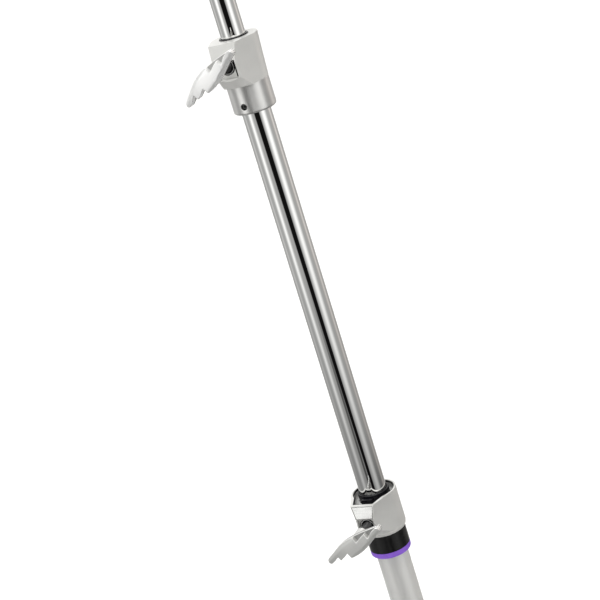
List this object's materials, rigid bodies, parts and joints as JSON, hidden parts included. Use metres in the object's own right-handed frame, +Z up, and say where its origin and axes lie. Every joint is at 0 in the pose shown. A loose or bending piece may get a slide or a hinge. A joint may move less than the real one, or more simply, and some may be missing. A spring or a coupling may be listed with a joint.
{
  "type": "c stand",
  "caption": "Folding light stand with bent tubular legs, a tall column, telescoping risers held by lever clamps, and a mounting stud on top.",
  "frame": {"origin": "on the floor, at the centre of the stand's bounding box; the column stands on x = 0, 0.1157 m behind it", "axes": "+Z up along the column, -Y towards the clamp levers and the highest leg, +X to the right of the levers"},
  "size_m": [0.8678, 0.752, 1.925],
  "materials": {
    "baby_stud": "machined, bright",
    "base_plug": "satin",
    "colour_ring": "satin purple",
    "foot_low": "matte",
    "foot_mid": "matte",
    "foot_high": "matte",
    "grip_band": "gloss black",
    "grub_screw": "black oxide",
    "leg_low": "polished",
    "leg_mid": "polished",
    "leg_high": "polished",
    "lower_bush": "black nylon",
    "lower_clamp_screw": "black oxide",
    "lower_collar": "fine blasted casting",
    "lower_lever": "bright casting",
    "lower_liner": "black nylon",
    "lower_screw_bush": "black nylon",
    "lower_shoe": "gloss black",
    "lower_tube": "satin plated",
    "middle_riser": "polished",
    "middle_riser_plug": "black nylon",
    "stop_collar": "bright",
    "stop_screw": "black oxide",
    "stud_pin": "bright",
    "top_riser": "polished",
    "top_riser_plug": "black nylon",
    "upper_bush": "black nylon",
    "upper_clamp_screw": "black oxide",
    "upper_collar": "fine blasted casting, machined sleeve",
    "upper_lever": "bright casting",
    "upper_screw_bush": "black nylon",
    "upper_shoe": "gloss black",
    "washer_low": "black nylon",
    "washer_mid": "black nylon",
    "washer_high": "black nylon"
  },
  "bodies": {
    "column": {"lower_tube": "lower_tube", "base_plug": "base_plug", "leg_low": "leg_low", "foot_low": "foot_low", "washer_low": "washer_low", "washer_mid": "washer_mid", "washer_high": "washer_high", "stop_collar": "stop_collar", "stop_screw": "stop_screw", "lower_collar": "lower_collar", "lower_liner": "lower_liner", "lower_bush": "lower_bush", "lower_screw_bush": "lower_screw_bush", "grip_band": "grip_band", "colour_ring": "colour_ring"},
    "leg_mid": {"leg_mid": "leg_mid", "foot_mid": "foot_mid"},
    "leg_high": {"leg_high": "leg_high", "foot_high": "foot_high"},
    "middle": {"middle_riser": "middle_riser", "middle_riser_plug": "middle_riser_plug", "upper_collar": "upper_collar", "upper_bush": "upper_bush", "grub_screw": "grub_screw", "upper_screw_bush": "upper_screw_bush"},
    "top": {"top_riser": "top_riser", "top_riser_plug": "top_riser_plug", "baby_stud": "baby_stud", "stud_pin": "stud_pin"},
    "lower_screw": {"lower_clamp_screw": "lower_clamp_screw"},
    "lower_lever": {"lower_lever": "lower_lever"},
    "lower_shoe": {"lower_shoe": "lower_shoe"},
    "upper_screw": {"upper_clamp_screw": "upper_clamp_screw"},
    "upper_lever": {"upper_lever": "upper_lever"},
    "upper_shoe": {"upper_shoe": "upper_shoe"}
  },
  "joints": [
    {"name": "middle_slide", "type": "slide", "parent": "column", "child": "middle", "axis": [0, 0, 1], "range_m": [-0.431, 0.46]},
    {"name": "top_slide", "type": "slide", "parent": "middle", "child": "top", "axis": [0, 0, 1], "range_m": [-0.145, 0.76]},
    {"name": "leg_mid_turn", "type": "hinge", "parent": "column", "child": "leg_mid", "pos_m": [0, 0.11572, 0.2], "axis": [0, 0, 1], "range_deg": [0, 102]},
    {"name": "leg_high_turn", "type": "hinge", "parent": "column", "child": "leg_high", "pos_m": [0, 0.11572, 0.25], "axis": [0, 0, 1], "range_deg": [-102, 0]},
    {"name": "lower_screw_slide", "type": "slide", "parent": "column", "child": "lower_screw", "axis": [0, -1, 0], "range_m": [0, 0.00125]},
    {"name": "lower_lever_turn", "type": "hinge", "parent": "lower_screw", "child": "lower_lever", "pos_m": [0, 0.11572, 1.1553], "axis": [0, -1, 0], "range_deg": [0, 300]},
    {"name": "lower_shoe_slide", "type": "slide", "parent": "column", "child": "lower_shoe", "axis": [0, -1, 0], "range_m": [0, 0.00125]},
    {"name": "upper_screw_slide", "type": "slide", "parent": "middle", "child": "upper_screw", "axis": [0, -1, 0], "range_m": [0, 0.00125]},
    {"name": "upper_lever_turn", "type": "hinge", "parent": "upper_screw", "child": "upper_lever", "pos_m": [0, 0.11572, 1.6669], "axis": [0, -1, 0], "range_deg": [0, 300]},
    {"name": "upper_shoe_slide", "type": "slide", "parent": "middle", "child": "upper_shoe", "axis": [0, -1, 0], "range_m": [0, 0.00125]}
  ],
  "couplings": [
    {"joint": "lower_lever_turn", "follows": "lower_screw_slide", "rad_per_m": 4188.8},
    {"joint": "lower_shoe_slide", "follows": "lower_screw_slide", "ratio": 1},
    {"joint": "upper_lever_turn", "follows": "upper_screw_slide", "rad_per_m": 4188.8},
    {"joint": "upper_shoe_slide", "follows": "upper_screw_slide", "ratio": 1}
  ]
}
